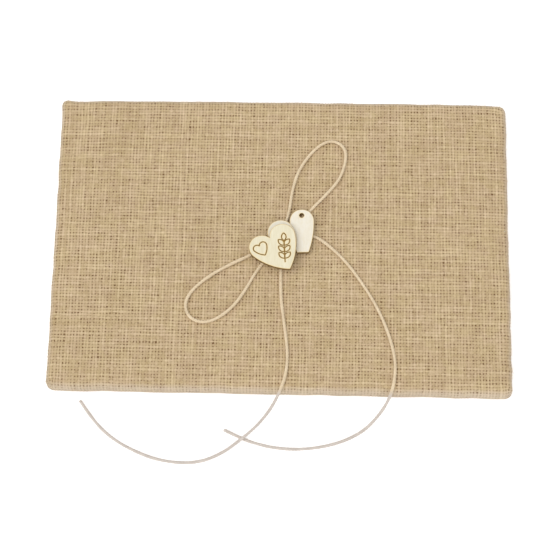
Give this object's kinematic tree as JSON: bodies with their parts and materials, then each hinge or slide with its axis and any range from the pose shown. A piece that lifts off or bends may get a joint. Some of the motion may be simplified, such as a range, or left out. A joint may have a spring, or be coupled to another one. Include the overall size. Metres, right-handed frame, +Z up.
{
  "type": "ring bearer pillow",
  "caption": "Flat rectangular burlap pad with a twine bow, two small wooden hearts and a wooden tag at its centre; two long twine tails drape over the front edge.",
  "frame": {"origin": "centre of the pad's underside, on the surface that it lies on", "axes": "+X along the pad's long side, +Y to the back edge, away from the tails, +Z up"},
  "size_m": [0.25, 0.209, 0.0192],
  "materials": {
    "burlap": "open plain weave, matt",
    "lining": "plain cotton, matt",
    "foam": "open foam",
    "board": "smooth grey board",
    "thread": "sewing thread",
    "twine": "twisted, two strands, matt",
    "natural_wood": "bare, laser cut, burnt lines",
    "white_wood": "thin white wash over grain",
    "glue": "dried clear glue"
  },
  "bodies": {
    "root": {"front_panel": "burlap", "back_panel": "burlap", "front_lining": "lining", "back_lining": "lining", "foam_pad": "foam", "stiffener_board": "board", "edge_seam": "thread", "closing_stitches": "thread", "tacking_stitch": "thread", "bow_knot": "twine", "upper_loop": "twine", "lower_loop": "twine", "left_tail": "twine", "right_tail": "twine", "front_heart": "natural_wood", "rear_heart": "white_wood", "tag": "white_wood", "glue_rear_heart": "glue", "glue_front_heart": "glue", "glue_tag": "glue"}
  },
  "joints": []
}
